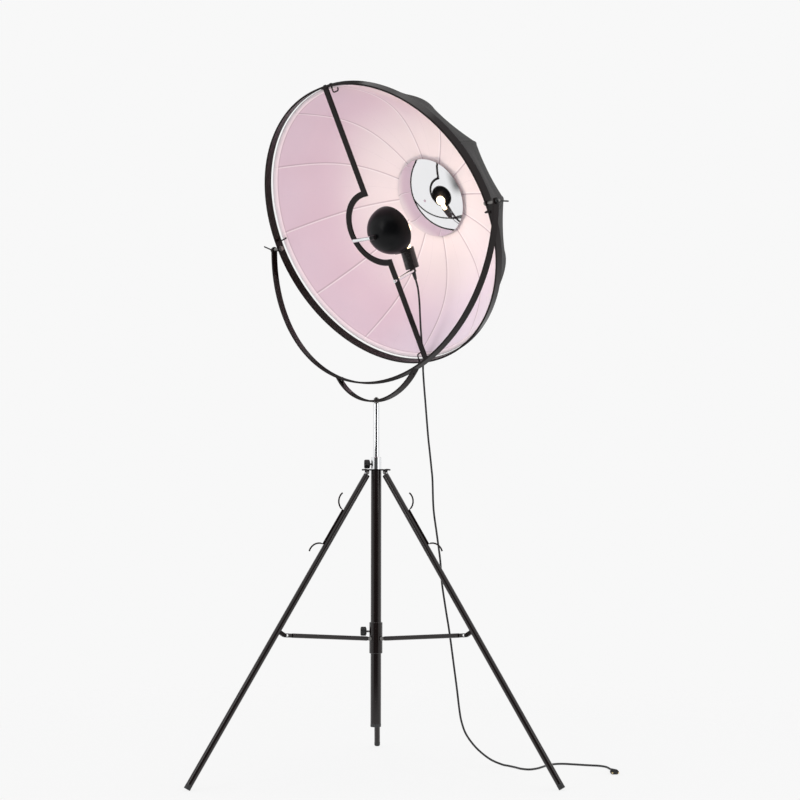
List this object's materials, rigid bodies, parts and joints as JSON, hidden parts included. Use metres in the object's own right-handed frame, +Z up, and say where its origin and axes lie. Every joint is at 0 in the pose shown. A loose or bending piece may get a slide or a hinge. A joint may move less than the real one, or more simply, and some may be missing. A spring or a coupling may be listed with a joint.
{
  "type": "tripod spotlight floor lamp",
  "caption": "Tripod floor lamp with a telescoping mast and a tilting umbrella reflector lit by a shielded bulb, with a mains cord and plug.",
  "frame": {"origin": "on the floor under the axis of the column", "axes": "+Z up the column; +Y towards the foot of the back leg; +X to the right as seen from the front"},
  "size_m": [1.2942, 1.0214, 2.1417],
  "materials": {
    "black_paint": "gloss black",
    "chrome": "polished",
    "mirror_dome": "spun mirror",
    "dark_steel": "dark zinc",
    "leg_plug": "satin",
    "knob_plastic": "gloss black",
    "cap_plastic": "dark grey",
    "guide_plastic": "white",
    "foot_rubber": "matt black",
    "cover_fabric": "tight black weave",
    "lining_fabric": "smooth pale pink",
    "bowl_black": "matt black",
    "socket_plastic": "black",
    "bulb_glass": "frosted",
    "cord_rubber": "black",
    "plug_plastic": "black",
    "pin_brass": "bright"
  },
  "bodies": {
    "stand": {"column": "black_paint", "column_cap": "cap_plastic", "spider_plate": "black_paint", "hub_pins": "dark_steel", "sleeve": "chrome", "cord_slide": "cord_rubber", "cord_floor": "cord_rubber", "plug": "plug_plastic", "plug_pins": "pin_brass"},
    "mast": {"mast": "chrome", "mast_guide": "guide_plastic", "cord_turn": "cord_rubber"},
    "yoke": {"swivel_stud": "dark_steel", "crescent": "black_paint", "yoke": "black_paint", "yoke_rivets": "dark_steel", "cord_tilt": "cord_rubber"},
    "head": {"ring": "black_paint", "hem_hoop": "dark_steel", "cover": "cover_fabric", "lining": "lining_fabric", "ribs": "dark_steel", "rib_hub": "dark_steel", "dome": "mirror_dome", "cover_hooks": "black_paint", "crossbar": "black_paint", "bowl": "bowl_black", "bowl_rod": "chrome", "holder_rod": "chrome", "socket": "socket_plastic", "bulb": "bulb_glass", "strain_relief": "cord_rubber", "pivot_bolts": "dark_steel", "cord_upper": "cord_rubber"},
    "wing_left": {"wing_nut_left": "knob_plastic"},
    "wing_right": {"wing_nut_right": "knob_plastic"},
    "upper_knob": {"mast_knob": "knob_plastic", "mast_stud": "dark_steel"},
    "collar": {"collar": "black_paint", "collar_bolts": "dark_steel"},
    "lower_knob": {"collar_knob": "knob_plastic", "collar_stud": "dark_steel"},
    "leg_a": {"leg_tube_a": "black_paint", "leg_top_a": "leg_plug", "foot_cap_a": "foot_rubber", "leg_lug_a": "black_paint", "cord_hooks_a": "black_paint"},
    "leg_b": {"leg_tube_b": "black_paint", "leg_top_b": "leg_plug", "foot_cap_b": "foot_rubber", "leg_lug_b": "black_paint", "cord_hooks_b": "black_paint"},
    "leg_c": {"leg_tube_c": "black_paint", "leg_top_c": "leg_plug", "foot_cap_c": "foot_rubber", "leg_lug_c": "black_paint", "cord_hooks_c": "black_paint"},
    "strut_a": {"strut_a": "black_paint"},
    "strut_b": {"strut_b": "black_paint"},
    "strut_c": {"strut_c": "black_paint"}
  },
  "joints": [
    {"name": "mast_slide", "type": "slide", "parent": "stand", "child": "mast", "axis": [0, 0, 1], "range_m": [-0.155, 0.28], "deforming": ["cord_slide"]},
    {"name": "yoke_swivel", "type": "hinge", "parent": "mast", "child": "yoke", "pos_m": [0, 0, 1.14795], "axis": [0, 0, 1], "range_deg": [-90, 90], "deforming": ["cord_turn"]},
    {"name": "head_tilt", "type": "hinge", "parent": "yoke", "child": "head", "pos_m": [0, 0, 1.71595], "axis": [0.7108, -0.7034, 0], "range_deg": [-60, 45], "deforming": ["cord_tilt"]},
    {"name": "wing_left_turn", "type": "hinge", "parent": "head", "child": "wing_left", "pos_m": [0, 0, 1.71595], "axis": [0.7108, -0.7034, 0], "continuous": true},
    {"name": "wing_right_turn", "type": "hinge", "parent": "head", "child": "wing_right", "pos_m": [0, 0, 1.71595], "axis": [0.7108, -0.7034, 0], "continuous": true},
    {"name": "mast_knob_turn", "type": "hinge", "parent": "stand", "child": "upper_knob", "pos_m": [0, 0, 0.95545], "axis": [1, 0, 0], "continuous": true},
    {"name": "collar_slide", "type": "slide", "parent": "stand", "child": "collar", "axis": [0, 0, 1], "range_m": [-0.169, 0]},
    {"name": "collar_knob_turn", "type": "hinge", "parent": "collar", "child": "lower_knob", "pos_m": [0, 0, 0.43404], "axis": [1, 0, 0], "continuous": true},
    {"name": "leg_a_fold", "type": "hinge", "parent": "stand", "child": "leg_a", "pos_m": [0, 0.03299, 0.92715], "axis": [-1, 0, 0], "range_deg": [0, 5.5]},
    {"name": "leg_b_fold", "type": "hinge", "parent": "stand", "child": "leg_b", "pos_m": [-0.02857, -0.01649, 0.92715], "axis": [0.5, -0.866, 0], "range_deg": [0, 5.5]},
    {"name": "leg_c_fold", "type": "hinge", "parent": "stand", "child": "leg_c", "pos_m": [0.02857, -0.01649, 0.92715], "axis": [0.5, 0.866, 0], "range_deg": [0, 5.5]},
    {"name": "strut_a_turn", "type": "hinge", "parent": "collar", "child": "strut_a", "pos_m": [0, 0.026, 0.41254], "axis": [1, 0, 0], "range_deg": [0, 30.1]},
    {"name": "strut_b_turn", "type": "hinge", "parent": "collar", "child": "strut_b", "pos_m": [-0.02252, -0.013, 0.41254], "axis": [-0.5, 0.866, 0], "range_deg": [0, 30.1]},
    {"name": "strut_c_turn", "type": "hinge", "parent": "collar", "child": "strut_c", "pos_m": [0.02252, -0.013, 0.41254], "axis": [-0.5, -0.866, 0], "range_deg": [0, 30.1]}
  ],
  "couplings": [
    {"joint": "collar_slide", "follows": "leg_a_fold", "m_per_rad": -1.7522},
    {"joint": "leg_b_fold", "follows": "leg_a_fold", "ratio": 1},
    {"joint": "leg_c_fold", "follows": "leg_a_fold", "ratio": 1},
    {"joint": "strut_a_turn", "follows": "leg_a_fold", "ratio": 5.4577},
    {"joint": "strut_b_turn", "follows": "leg_a_fold", "ratio": 5.4577},
    {"joint": "strut_c_turn", "follows": "leg_a_fold", "ratio": 5.4577}
  ]
}
